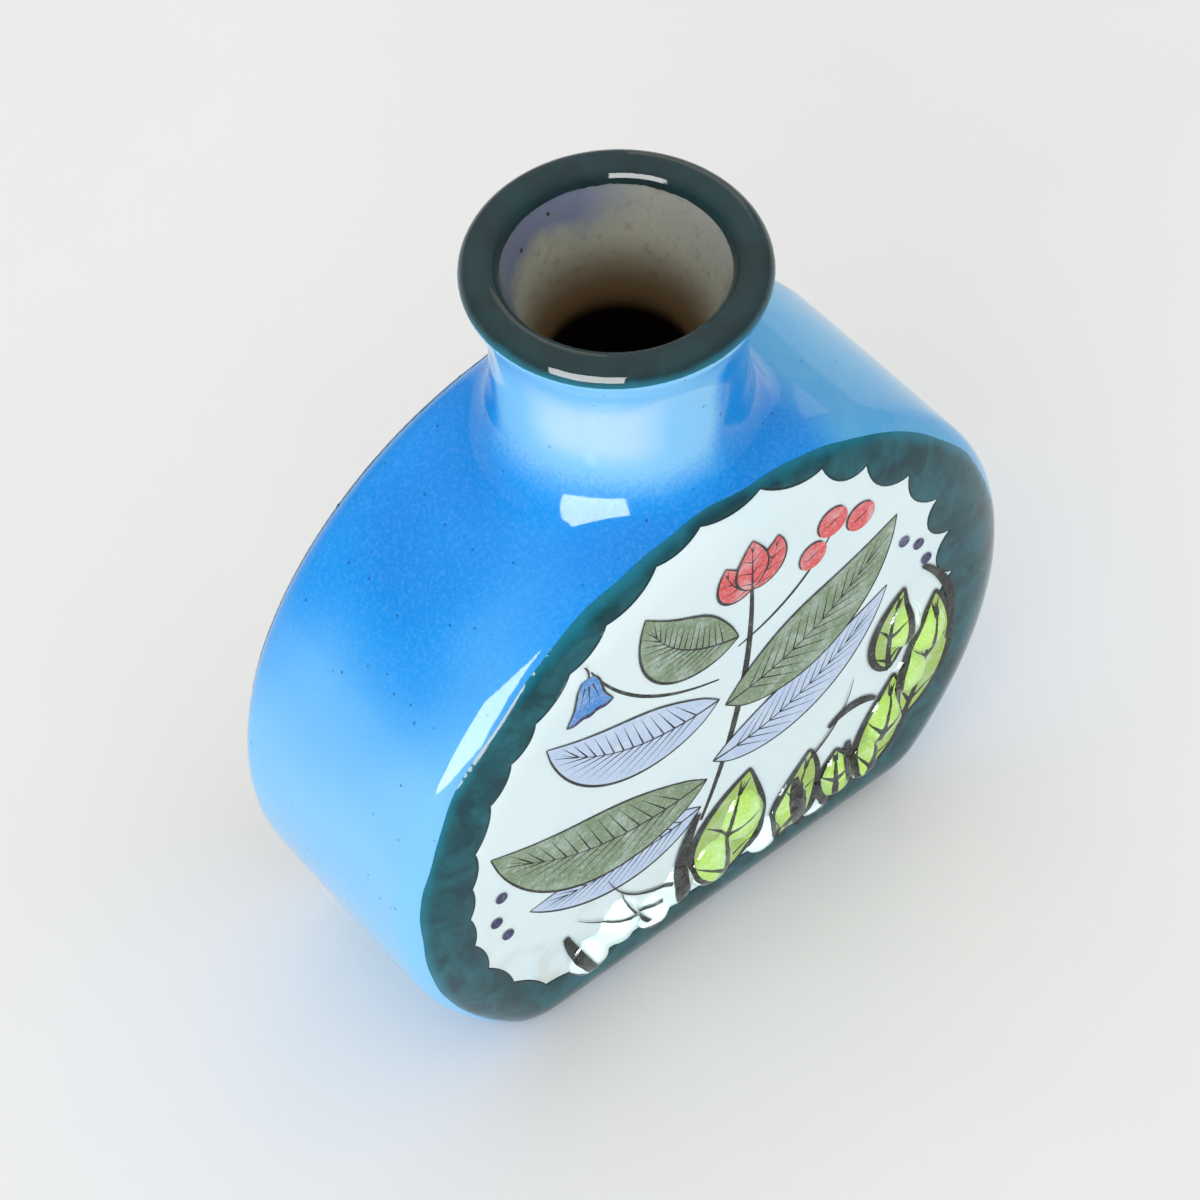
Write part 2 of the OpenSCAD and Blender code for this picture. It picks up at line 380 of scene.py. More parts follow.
class Glaze:
    """Builds one procedural material from nodes on Object coordinates."""

    def __init__(self, name, roughness=0.08, gloss=0.25, ior=1.5):
        self.material = bpy.data.materials.new(name)
        self.material.use_nodes = True
        self.tree = self.material.node_tree
        self.shader = self.tree.nodes["Principled BSDF"]
        self.shader.inputs["Roughness"].default_value = roughness
        self.shader.inputs["IOR"].default_value = ior
        self.shader.inputs["Specular IOR Level"].default_value = gloss
        self.place = self.add("ShaderNodeTexCoord").outputs["Object"]

    def add(self, kind, inputs=(), **values):
        node = self.tree.nodes.new(kind)
        for key, value in values.items():
            setattr(node, key, value)
        for key, value in dict(inputs).items():
            self.put(node.inputs[key], value)
        return node

    def put(self, socket, value):
        if isinstance(value, bpy.types.NodeSocket):
            self.tree.links.new(value, socket)
        elif socket.type == "RGBA":
            socket.default_value = (*value[:3], 1)
        else:
            socket.default_value = value

    def noise(self, size, detail=2, roughness=0.5, distortion=0, place=None):
        """Soft noise whose features are about size millimetres across."""
        node = self.add("ShaderNodeTexNoise", {
            "Vector": place or self.place, "Scale": 1 / (size * MM), "Detail": detail,
            "Roughness": roughness, "Distortion": distortion})
        return node.outputs["Fac"]

    def stretch(self, x, y, z):
        """Object coordinates scaled along the axes, for streaks."""
        return self.add("ShaderNodeMapping", {"Vector": self.place, "Scale": (x, y, z)}).outputs["Vector"]

    def brushed(self, drag):
        """Coordinates round the panel's centre, for strokes that are drag times as long as wide."""
        panel = settings().vase_panel
        across = self.math("SUBTRACT", self.axis("X"), panel.centre_x)
        up = self.math("SUBTRACT", self.axis("Z"), panel.centre_z)
        away = self.math("SQRT", self.math("ADD", self.math("MULTIPLY", across, across),
                                           self.math("MULTIPLY", up, up)))
        turn = self.math("MULTIPLY", self.math("ARCTAN2", up, across), panel.radius / drag)
        return self.add("ShaderNodeCombineXYZ", {"X": away, "Y": turn}).outputs["Vector"]

    def axis(self, name):
        return self.add("ShaderNodeSeparateXYZ", {"Vector": self.place}).outputs[name]

    def math(self, operation, a, b=0.5, clamp=False):
        return self.add("ShaderNodeMath", {0: a, 1: b}, operation=operation, use_clamp=clamp).outputs[0]

    def step(self, value, low, high):
        """0 to 1 as value goes from low to high, softly; low may be the larger."""
        node = self.add("ShaderNodeMapRange", {"Value": value, "From Min": low, "From Max": high},
                        interpolation_type="SMOOTHSTEP")
        return node.outputs["Result"]

    def mix(self, share, a, b, blend="MIX"):
        node = self.add("ShaderNodeMix", data_type="RGBA", blend_type=blend, clamp_factor=True)
        for socket, value in zip([s for s in node.inputs if s.enabled], (share, a, b)):
            self.put(socket, value)
        return [s for s in node.outputs if s.enabled][0]

    def specks(self, spacing, size, share):
        """1 inside small round specks: one in each cell of the spacing, for that share of the cells."""
        cells = self.add("ShaderNodeTexVoronoi", {"Vector": self.place, "Scale": 1 / (spacing * MM)})
        chosen = self.math("LESS_THAN", self.add(
            "ShaderNodeSeparateColor", {"Color": cells.outputs["Color"]}).outputs[0], share)
        near = self.step(cells.outputs["Distance"], size / spacing, 0.45 * size / spacing)
        return self.math("MULTIPLY", near, chosen)

    def bump(self, height, distance, strength=1.0):
        """Adds relief of that depth in millimetres."""
        self.add_bump = self.add("ShaderNodeBump", {
            "Height": height, "Distance": distance * MM, "Strength": strength})
        self.put(self.shader.inputs["Normal"], self.add_bump.outputs["Normal"])

    def finish(self, base, roughness=None):
        self.put(self.shader.inputs["Base Color"], base)
        if roughness is not None:
            self.put(self.shader.inputs["Roughness"], roughness)
        return self.material


def blue_glaze():
    tint = settings().vase_glazes
    glaze = Glaze("blue glaze", roughness=0.07)
    height = glaze.axis("Z")
    # Paler low on the band and deep over the shoulder. The pale side of the neck, towards the window lamp, is a
    # painted reflection
    low = glaze.math("MULTIPLY", glaze.step(height, 84 * MM, 40 * MM), 0.66)
    facing = glaze.math("ADD", glaze.math("MULTIPLY", glaze.axis("X"), -0.77),
                        glaze.math("MULTIPLY", glaze.axis("Y"), -0.64))
    neck = glaze.math("MULTIPLY", glaze.step(height, 81 * MM, 94 * MM), glaze.step(facing, 6 * MM, 10 * MM))
    # The painted reflection's lower edge breaks up into fine grain
    broken = glaze.math("MULTIPLY", glaze.math("SUBTRACT", glaze.noise(0.4, 3, 0.65), 0.5), 2.4)
    edge = glaze.math("MULTIPLY", neck, glaze.math("SUBTRACT", 1.0, neck))
    neck = glaze.math("ADD", neck, glaze.math("MULTIPLY", broken, edge), clamp=True)
    drift = glaze.math("MULTIPLY", glaze.math("SUBTRACT", glaze.noise(26, 1.5, 0.4), 0.3), 0.8)
    # thin adds the paleness low on the band, the neck's painted reflection and a random drift
    thin = glaze.math("ADD", glaze.math("ADD", low, neck), drift)
    base = glaze.mix(glaze.step(thin, -0.15, 0.4), tint.blue_deep, tint.blue_mid)
    base = glaze.mix(glaze.step(thin, 0.2, 0.95), base, tint.blue_pale)
    # Painted reflection: a paler patch of the window within the neck's pale side
    away = glaze.math("ABSOLUTE", glaze.math("SUBTRACT", height, 95.5 * MM))
    window_reflection_spot = glaze.math("MULTIPLY", glaze.step(facing, 12 * MM, 14.8 * MM), glaze.step(away, 7 * MM, 2 * MM))
    base = glaze.mix(glaze.math("MULTIPLY", window_reflection_spot, 0.75), base, tint.blue_painted_reflection)
    # A painted reflection: a greyer patch over the shoulder right of the neck
    right = glaze.math("MULTIPLY", glaze.step(glaze.axis("X"), 13 * MM, 21 * MM),
                       glaze.step(height, 44 * MM, 68 * MM))
    swirl = glaze.math("ADD", glaze.math("MULTIPLY", glaze.noise(11, 2, 0.5, 1.2), 0.5), 0.3)
    base = glaze.mix(glaze.math("MULTIPLY", right, swirl), base, tint.blue_grey_reflection)
    grain = glaze.noise(0.5, 3, 0.7)
    base = glaze.mix(glaze.math("MULTIPLY", glaze.step(grain, 0.4, 0.75), 0.16), base, tint.blue_pale)
    base = glaze.mix(glaze.math("MULTIPLY", glaze.specks(2.4, 0.28, 0.5), 0.55), base, tint.cobalt)
    glaze.bump(glaze.noise(6, 3, 0.5), 0.03)
    return glaze.finish(base)


def green_glaze(name, thin_share, over=None, share=0):
    tint = settings().vase_glazes
    glaze = Glaze(name, roughness=0.07)
    clouded = glaze.noise(6, 4, 0.6, 0.8)
    streaks = glaze.noise(1.1, 3, 0.6, place=glaze.brushed(9))
    base = glaze.mix(glaze.step(clouded, 0.35, 0.68), tint.green_dark, tint.green_mid)
    base = glaze.mix(glaze.math("MULTIPLY", glaze.step(streaks, 0.45, 0.75), 0.35), base, tint.green_dark)
    base = glaze.mix(share, base, over or tint.green_dark)
    base = glaze.mix(glaze.math("MULTIPLY", thin_share(glaze), 0.85), base, tint.green_thin)
    base = glaze.mix(glaze.specks(3.5, 0.35, 0.3), base, tint.green_dark)
    glaze.bump(glaze.noise(5, 3, 0.5), 0.1)
    return glaze.finish(base)


def border_thin(glaze):
    """The border runs thin towards the blue band."""
    depth = glaze.math("ABSOLUTE", glaze.axis("Y"))
    wander = glaze.math("MULTIPLY", glaze.noise(4, 2), 1.2 * MM)
    line = settings().vase_coats.border_y
    return glaze.step(glaze.math("SUBTRACT", depth, wander), line + 0.5 * MM, line - 0.6 * MM)


def lip_thin(glaze):
    """The lip's green runs thin downwards, outside."""
    wander = glaze.math("MULTIPLY", glaze.noise(4, 2), 1.2 * MM)
    line = settings().vase_coats.lip_line
    low = glaze.step(glaze.math("SUBTRACT", glaze.axis("Z"), wander), line + 0.6 * MM, line - 0.6 * MM)
    flat = glaze.add("ShaderNodeVectorMath", {0: glaze.stretch(1, 1, 0)}, operation="LENGTH").outputs["Value"]
    return glaze.math("MULTIPLY", low, glaze.step(flat, 14 * MM, 16 * MM))


def dark_line_glaze():
    tint = settings().vase_glazes
    glaze = Glaze("pooled green", roughness=0.06)
    base = glaze.mix(glaze.step(glaze.noise(3, 3), 0.35, 0.7),
                     [0.45 * value for value in tint.green_dark], tint.green_dark)
    return glaze.finish(base)


def white_glaze():
    tint = settings().vase_glazes
    glaze = Glaze("white glaze", roughness=0.08)
    low_left = glaze.math("MULTIPLY", glaze.step(glaze.axis("Z"), 40 * MM, 12 * MM),
                          glaze.step(glaze.axis("X"), 0, -34 * MM))
    stain = glaze.math("MULTIPLY", glaze.step(glaze.noise(9, 4, 0.6, 0.6), 0.42, 0.75), low_left)
    base = glaze.mix(glaze.step(glaze.noise(16, 3), 0.3, 0.75), tint.white,
                     [value * share for value, share in zip(tint.white, (0.93, 0.97, 1.0))])
    base = glaze.mix(glaze.math("MULTIPLY", stain, 0.6), base, tint.stain)
    base = glaze.mix(glaze.math("MULTIPLY", glaze.specks(5, 0.28, 0.3), 0.5), base, tint.stain)
    glaze.bump(glaze.noise(9, 2, 0.5), 0.06)
    return glaze.finish(base)


def liner_glaze():
    tint = settings().vase_glazes
    glaze = Glaze("liner glaze", roughness=0.12)
    height = glaze.axis("Z")
    # Painted shade: the liner darkens deeper down the bore
    base = glaze.mix(glaze.step(height, 101 * MM, 93 * MM), tint.liner, tint.liner_dark)
    base = glaze.mix(glaze.math("MULTIPLY", glaze.step(glaze.noise(1.2, 3), 0.5, 0.8), 0.4), base,
                     tint.liner_dark)
    wander = glaze.math("MULTIPLY", glaze.noise(7, 3), 7 * MM)
    rim = glaze.step(glaze.math("ADD", height, wander), 103.5 * MM, 108 * MM)
    side = glaze.step(glaze.math("SUBTRACT", glaze.axis("Y"), glaze.math("MULTIPLY", glaze.axis("X"), 0.6)),
                      0, 14 * MM)
    base = glaze.mix(glaze.math("MULTIPLY", rim, glaze.math("ADD", side, 0.25)), base, tint.lavender)
    base = glaze.mix(glaze.specks(2.6, 0.34, 0.3), base, tint.speck)
    # Painted shade: near black deep in the bore
    base = glaze.mix(glaze.step(height, 93.5 * MM, 90 * MM), base, [0.1 * value for value in tint.speck])
    glaze.bump(glaze.noise(2, 3), 0.06)
    return glaze.finish(base)


def stoneware():
    tint = settings().vase_glazes
    glaze = Glaze("stoneware", roughness=0.8)
    base = glaze.mix(glaze.step(glaze.noise(7, 4), 0.35, 0.7), tint.clay,
                     [0.72 * value for value in tint.clay])
    base = glaze.mix(glaze.specks(2.2, 0.4, 0.35), base, tint.speck)
    glaze.bump(glaze.noise(0.7, 4, 0.7), 0.12)
    return glaze.finish(base)


def clear_glaze():
    tint = settings().vase_glazes
    glaze = Glaze("clear glaze", roughness=0.02, gloss=0.5, ior=1.45)
    glaze.shader.inputs["Transmission Weight"].default_value = 1.0
    glaze.bump(glaze.noise(1.6, 2), 0.04)
    # Painted shade: the beads darken where their surface turns away from the view
    turned = glaze.add("ShaderNodeLayerWeight", {"Blend": 0.5}).outputs["Facing"]
    base = glaze.mix(glaze.noise(4, 2), tint.clear, (0.95, 0.97, 0.95))
    return glaze.finish(glaze.mix(glaze.step(turned, 0.5, 0.95), base, tint.clear_shaded_edge))


def paint(name, tint, wash):
    """Brushed colour under the glaze, thinner where the brush held less."""
    glaze = Glaze(name, roughness=0.08)
    white = settings().vase_glazes.white
    thin = glaze.math("MULTIPLY", glaze.step(glaze.noise(3.2, 3, 0.6, 0.5), 0.4, 0.8), wash)
    grain = glaze.math("MULTIPLY", glaze.step(glaze.noise(0.5, 3, 0.7), 0.48, 0.75), wash)
    base = glaze.mix(glaze.math("ADD", thin, grain, clamp=True), tint, white)
    glaze.bump(glaze.noise(9, 2, 0.5), 0.06)
    return glaze.finish(base)


# The outer form that the coats are cut from


def soft_edge(tight, wide, steps=8):
    """Steps inwards and forwards along the soft edge, which is tight next to the band and wide next to a face."""
    turns = [math.pi / 4 * index / steps for index in range(2 * steps + 1)]
    for index, (first, second) in enumerate(zip(turns, turns[1:])):
        radius = tight if index < steps else wide
        yield radius * (math.cos(first) - math.cos(second)), radius * (math.sin(second) - math.sin(first))


def flask_form():
    size, coats = settings().vase_body, settings().vase_coats
    radius = size.outline_r - coats.set_back
    edge = list(soft_edge(size.band_edge_r, size.face_edge_r))
    flat = size.half_depth - coats.set_back - sum(forwards for _, forwards in edge)
    low = coats.set_back
    corner_z = low + size.corner_r
    corner_x = math.sqrt((radius - size.corner_r) ** 2 - (size.outline_z - corner_z) ** 2)
    slope = math.degrees(math.atan2(size.outline_z - corner_z, corner_x))
    start_line("flask_form", (corner_x, 0, low))
    arc_by((corner_x, 0, corner_z), 90 - slope, 16)
    arc_by((0, 0, size.outline_z), 180 + 2 * slope, 240)
    arc_by((-corner_x, 0, corner_z), 90 - slope, 16)
    close_and_fill()
    line_by(0, 2 * flat, 0)
    bpy.ops.mesh.select_all(action="SELECT")
    bpy.ops.transform.translate(value=(0, -flat, 0))
    face_outwards()
    form = leave_edit()
    choose_nothing(form.data)
    choose(form.data.polygons, lambda face: abs(face.normal.y) > 0.9)
    select_mode("FACE")
    edit(form)
    for inwards, forwards in edge:
        bpy.ops.mesh.inset(thickness=inwards, depth=forwards)
    return leave_edit()


def neck_form():
    size, set_back = settings().vase_neck, settings().vase_coats.set_back
    waist, section = size.waist_r - set_back, size.lip_section - set_back
    lip_z, ring = size.lip_top - size.lip_section, size.lip_r - size.lip_section
    root_curve = size.root_curve + set_back
    # The flare from the waist runs into the lip's roll without a step
    rise, out = lip_z - size.waist_z, size.waist_r - ring
    flare = (rise ** 2 + out ** 2 - size.lip_section ** 2) / (2 * (size.lip_section - out))
    lean = math.degrees(math.asin(rise / (flare + size.lip_section)))
    reach = waist + root_curve - size.root_r
    turn = math.degrees(math.acos(reach / root_curve))
    start_line("neck_form", (0, 0, size.low_z))
    line_by(size.root_r, 0, 0)
    line_by(0, 0, size.root_z - root_curve * math.sin(math.radians(turn)) - size.low_z)
    arc_by((waist + root_curve, 0, size.root_z), -turn, 14)
    line_by(0, 0, size.waist_z - size.root_z)
    arc_by((size.waist_r + flare, 0, size.waist_z), -lean, 20)
    arc_by((ring, 0, lip_z), 180 + lean, 36)
    line_by(size.bore_r - ring + section, 0, size.bore_z - lip_z)
    line_by(0, 0, size.low_z + 14 * MM - size.bore_z)
    line_by(-size.bore_r, 0, 0)
    return lathe(leave_edit(), 120)


def near_root(place):
    """1 round the joint of neck and shoulder, fading out all round it."""
    away = math.hypot(place.x, place.y)
    return fade(away, 25, 19) * fade(place.z, 74, 79) * fade(place.z, 94, 88) if away > 12 else 0


class VASE_OT_outer_form(bpy.types.Operator):
    """Models the vase's whole outer form, which the glaze coats are cut from"""
    bl_idname = "bud_vase.outer_form"
    bl_label = "Outer form"

    def execute(self, context):
        coats = settings().vase_coats
        flask, neck = flask_form(), neck_form()
        cut(flask, neck, "UNION")
        form = duplicate(flask, "outer_form")
        modify(form, "REMESH", mode="VOXEL", voxel_size=coats.mesh_size, adaptivity=0)
        modify(form, "SMOOTH", factor=0.5, iterations=6)
        held = weigh(form, "held", lambda place: 1 - near_root(place))
        modify(form, "SHRINKWRAP", target=flask, wrap_method="NEAREST_SURFACEPOINT", vertex_group=held)
        root = weigh(form, "root", near_root)
        modify(form, "SMOOTH", factor=0.5, iterations=60, vertex_group=root)
        modify(form, "SHRINKWRAP", target=flask, wrap_method="NEAREST_SURFACEPOINT", wrap_mode="OUTSIDE")
        modify(form, "SMOOTH", factor=0.5, iterations=25, vertex_group=root)
        hand = weigh(form, "hand", lambda place: fade(abs(place.y), 18, 13) * fade(place.z, 1, 6)
                     * fade(place.z, 104, 100))
        modify(form, "DISPLACE", texture=clouds("hand_built", 0.03), texture_coords="LOCAL", mid_level=0.5,
               strength=0.35 * MM, vertex_group=hand)
        modify(form, "SMOOTH", factor=0.5, iterations=2)
        form.vertex_groups.clear()
        two_slots(form, 0)
        remove(flask, neck)
        if len(form.data.polygons) < 20000:
            raise RuntimeError("the outer form came out too coarse to cut coats from")
        return {"FINISHED"}


def form():
    found = bpy.data.objects.get("outer_form")
    if found is None:
        raise RuntimeError("model the outer form before the coats")
    return found


def face_block(side):
    """A block in front of one face, whose inner side wanders like a brushed edge."""
    coats = settings().vase_coats
    clear_selection()
    select_mode("VERT")
    bpy.ops.mesh.primitive_grid_add(x_subdivisions=90, y_subdivisions=90, size=130 * MM, location=(0, 0, 0))
    block = bpy.context.object
    bpy.ops.object.mode_set(mode="EDIT")
    bpy.ops.mesh.select_all(action="SELECT")
    bpy.ops.transform.rotate(value=math.pi / 2, orient_axis="X", center_override=(0, 0, 0))
    bpy.ops.transform.translate(value=(0, side * coats.border_y, 19.5 * MM))
    leave_edit()
    modify(block, "DISPLACE", texture=clouds("brushed_edge", 0.012), texture_coords="LOCAL", direction="Y",
           mid_level=0.5, strength=coats.border_waver)
    edit(block)
    bpy.ops.mesh.select_all(action="SELECT")
    line_by(0, side * 14 * MM, 0)
    face_outwards()
    return two_slots(leave_edit(), 1)


def rim_at(angle):
    """The panel's edge in one direction from its centre, with that direction."""
    size = settings().vase_panel
    out = Vector((math.cos(angle), 0, math.sin(angle)))
    corner = 2 * max(-out.z, 0) * abs(out.x) * size.corner
    drawn_in = max(math.cos(angle - math.radians(130)), 0) ** 6 * size.drawn_in
    return Vector((size.centre_x, 0, size.centre_z)) + (size.radius + corner - drawn_in) * out, out


def rim_point(along):
    """The point at a share of the way round a panel's edge, from the left end of its base, with the
    direction out of the panel there."""
    size = settings().vase_panel
    low, high = -math.pi / 2, 0
    for _ in range(40):
        end = (low + high) / 2
        low, high = (end, high) if rim_at(end)[0].z < size.base_z else (low, end)
    half = rim_at(end)[0].x - size.centre_x
    total = 2 * half + size.radius * (math.pi - 2 * end)
    reach = (along % 1) * total
    if reach < 2 * half:
        return Vector((size.centre_x - half + reach, 0, size.base_z)), Vector((0, 0, -1))
    return rim_at(end + (reach - 2 * half) / size.radius)


def scallop_line(name, seed):
    """Draws a panel's scalloped edge in the front view: one arc for each lobe of green."""
    size = settings().vase_panel
    dice = random.Random(seed)
    even = [(index + dice.uniform(-0.13, 0.13)) / size.lobes for index in range(size.lobes)]
    # Wide lobes on the right, narrow ones on the left
    shares = [share + 0.03 * math.sin(2 * math.pi * (share - 0.4)) for share in even]
    start, _ = rim_point(shares[0])
    start_line(name, start)
    for index, share in enumerate(shares):
        following = shares[index + 1] if index + 1 < size.lobes else 1 + shares[0]
        first, second = rim_point(share)[0], rim_point(following)[0]
        out = rim_point((share + following) / 2)[1]
        right = fade(out.x, 0.15, 0.85)
        depth = (size.lobe_least + (size.lobe_most - size.lobe_least) * right) * dice.uniform(0.8, 1.15)
        half = (second - first).length / 2
        radius = (half * half + depth * depth) / (2 * depth)
        across = (second - first).normalized()
        outwards = Vector((across.z, 0, -across.x))
        centre = (first + second) / 2 + outwards * (radius - depth)
        arc_by(centre, -math.degrees(2 * math.asin(min(half / radius, 1))), 10)
    bpy.ops.mesh.select_all(action="SELECT")
    bpy.ops.mesh.remove_doubles(threshold=0.02 * MM)
    return leave_edit()


def turn_to(obj, side):
    """Turns a drawing from the front to the back."""
    if side > 0:
        edit(obj)
        bpy.ops.mesh.select_all(action="SELECT")
        bpy.ops.transform.rotate(value=math.pi, orient_axis="Z", center_override=(0, 0, 0))
        leave_edit()
    return obj


def scallop_block(side):
    """The scalloped drawing as a solid block through one face."""
    block = scallop_line("scallop_block", 5 - side)
    edit(block)
    close_and_fill()
    bpy.ops.transform.translate(value=(0, -14 * MM, 0))
    line_by(0, -16 * MM, 0)
    face_outwards()
    return two_slots(turn_to(leave_edit(), side), 1)


class VASE_OT_blue_coat(bpy.types.Operator):
    """Cuts the blue coat of the band and the neck from the outer form"""
    bl_idname = "bud_vase.blue_coat"
    bl_label = "Blue coat"

    def execute(self, context):
        coats, body = settings().vase_coats, settings().vase_body
        coat = duplicate(form(), "blue_coat")
        for side in SIDES.values():
            block = face_block(side)
            cut(coat, block, "DIFFERENCE")
            remove(block)
        drop_cut_faces(coat)
        for height, upper in ((body.foot_line, False), (coats.lip_line, True)):
            edit(coat)
            bpy.ops.mesh.select_all(action="SELECT")
            bpy.ops.mesh.bisect(plane_co=(0, 0, height), plane_no=(0, 0, 1), clear_inner=not upper,
                                clear_outer=upper)
            leave_edit()
        inside = settings().vase_neck.waist_r / MM - 1.5
        keep_part(coat, lambda place: place.z < 80 or math.hypot(place.x, place.y) > inside)
        thicken(coat, coats.coat)
        finish_piece(coat, "blue_coat", blue_glaze(), "blue_glaze", "band_glaze", "neck_glaze")
        return {"FINISHED"}


class VASE_OT_borders(bpy.types.Operator):
    """Cuts the scalloped green borders of both faces, and lays the dark line along their lobes"""
    bl_idname = "bud_vase.borders"
    bl_label = "Green borders"

    def execute(self, context):
        coats, body = settings().vase_coats, settings().vase_body
        glaze, pooled = green_glaze("green glaze", border_thin), dark_line_glaze()
        for name, side in SIDES.items():
            coat = duplicate(form(), name + "_border_coat")
            block, lobes = face_block(side), scallop_block(side)
            cut(coat, block, "INTERSECT")
            cut(coat, lobes, "DIFFERENCE")
            drop_cut_faces(coat)
            edit(coat)
            bpy.ops.mesh.select_all(action="SELECT")
            bpy.ops.mesh.bisect(plane_co=(0, 0, body.foot_line), plane_no=(0, 0, 1), clear_inner=True)
            leave_edit()
            modify(coat, "DISPLACE", strength=coats.proud, mid_level=0)
            thicken(coat, coats.coat + coats.proud)
            finish_piece(coat, name + "_border_coat", glaze, "green_glaze", name + "_border_glaze")
            remove(block, lobes)
            self.edge_line(name, side, pooled)
        return {"FINISHED"}

    def edge_line(self, name, side, pooled):
        line = turn_to(scallop_line(name + "_border_line", 5 - side), side)
        edit(line)
        bpy.ops.mesh.select_all(action="SELECT")
        bpy.ops.transform.translate(value=(0, side * 40 * MM, 0))
        leave_edit()
        modify(line, "SHRINKWRAP", target=form(), wrap_method="PROJECT", use_project_y=True,
               use_negative_direction=True, use_positive_direction=True)
        pick(line)
        bpy.ops.object.convert(target="CURVE")
        line.data.bevel_depth = settings().vase_coats.edge_line
        line.data.bevel_resolution = 2
        bpy.ops.object.convert(target="MESH")
        edit(line)
        bpy.ops.mesh.select_all(action="SELECT")
        bpy.ops.transform.translate(value=(0, -side * 0.1 * MM, 0))
        leave_edit()
        finish_piece(line, name + "_border_line", pooled, "green_glaze")


class VASE_OT_panels(bpy.types.Operator):
    """Cuts the scalloped white panels of both faces"""
    bl_idname = "bud_vase.panels"
    bl_label = "White panels"

    def execute(self, context):
        glaze = white_glaze()
        for name, side in SIDES.items():
            coat = duplicate(form(), name + "_panel_coat")
            lobes = scallop_block(side)
            cut(coat, lobes, "INTERSECT")
            drop_cut_faces(coat)
            thicken(coat, settings().vase_coats.coat)
            finish_piece(coat, name + "_panel_coat", glaze, "white_glaze", name + "_panel_glaze")
            remove(lobes)
        return {"FINISHED"}


class VASE_OT_lip(bpy.types.Operator):
    """Cuts the green coat of the rolled lip from the outer form"""
    bl_idname = "bud_vase.lip"
    bl_label = "Green lip"

    def execute(self, context):
        coats = settings().vase_coats
        coat = duplicate(form(), "lip_coat")
        edit(coat)
        bpy.ops.mesh.select_all(action="SELECT")
        bpy.ops.mesh.bisect(plane_co=(0, 0, coats.lip_line), plane_no=(0, 0, 1), clear_inner=True)
        leave_edit()
        modify(coat, "DISPLACE", strength=coats.proud, mid_level=0)
        thicken(coat, coats.coat + coats.proud)
        glaze = green_glaze("lip glaze", lip_thin, settings().vase_glazes.green_lip, 0.8)
        finish_piece(coat, "lip_coat", glaze, "green_glaze", "lip_glaze")
        return {"FINISHED"}


class VASE_OT_liner(bpy.types.Operator):
    """Models the clear glaze inside the hollow and the bore"""
    bl_idname = "bud_vase.liner"
    bl_label = "Liner"

    def execute(self, context):
        size, coats = settings().vase_neck, settings().vase_coats
        hollow = self.hollow()
        throat = self.throat()
        cut(hollow, throat, "UNION")
        remove(throat)
        top = (coats.lip_line + 0.2 * MM) / MM
        keep_part(hollow, lambda place: place.z < top - 0.05)
        modify(hollow, "SOLIDIFY", thickness=0.35 * MM, offset=1, use_rim=True)
        finish_piece(hollow, "liner_coat", liner_glaze(), "liner_glaze", "liner_glaze")
        return {"FINISHED"}

    def hollow(self):
        low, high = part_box("liner_glaze")
        wall = 0.5 * MM
        radius = (high.x - low.x) / 2 - wall
        centre_z, base_z, half_depth = settings().vase_body.outline_z, low.z + wall, high.y - wall
        half = math.sqrt(radius ** 2 - (centre_z - base_z) ** 2)
        start_line("hollow", (half, 0, base_z))
        arc_by((0, 0, centre_z), 360 - 2 * math.degrees(math.asin(half / radius)), 120)
        close_and_fill()
        line_by(0, 2 * half_depth, 0)
        bpy.ops.mesh.select_all(action="SELECT")
        bpy.ops.transform.translate(value=(0, -half_depth, 0))
        face_outwards()
        hollow = leave_edit()
        return modify(hollow, "BEVEL", width=3 * MM, segments=4, limit_method="ANGLE",
                      angle_limit=math.radians(40))

    def throat(self):
        size, coats = settings().vase_neck, settings().vase_coats
        wall = size.bore_r + 0.1 * MM
        mouth_r, mouth_z = size.lip_r - 2 * size.lip_section + coats.set_back, size.lip_top - size.lip_section
        start_line("throat", (0, 0, size.low_z - 4 * MM))
        line_by(wall, 0, 0)
        line_by(0, 0, size.bore_z - size.low_z + 4 * MM)
        line_by(mouth_r - wall, 0, mouth_z - size.bore_z)
        line_by(0, 0, coats.lip_line + 0.2 * MM - mouth_z)
        line_by(-mouth_r, 0, 0)
        return lathe(leave_edit(), 120)


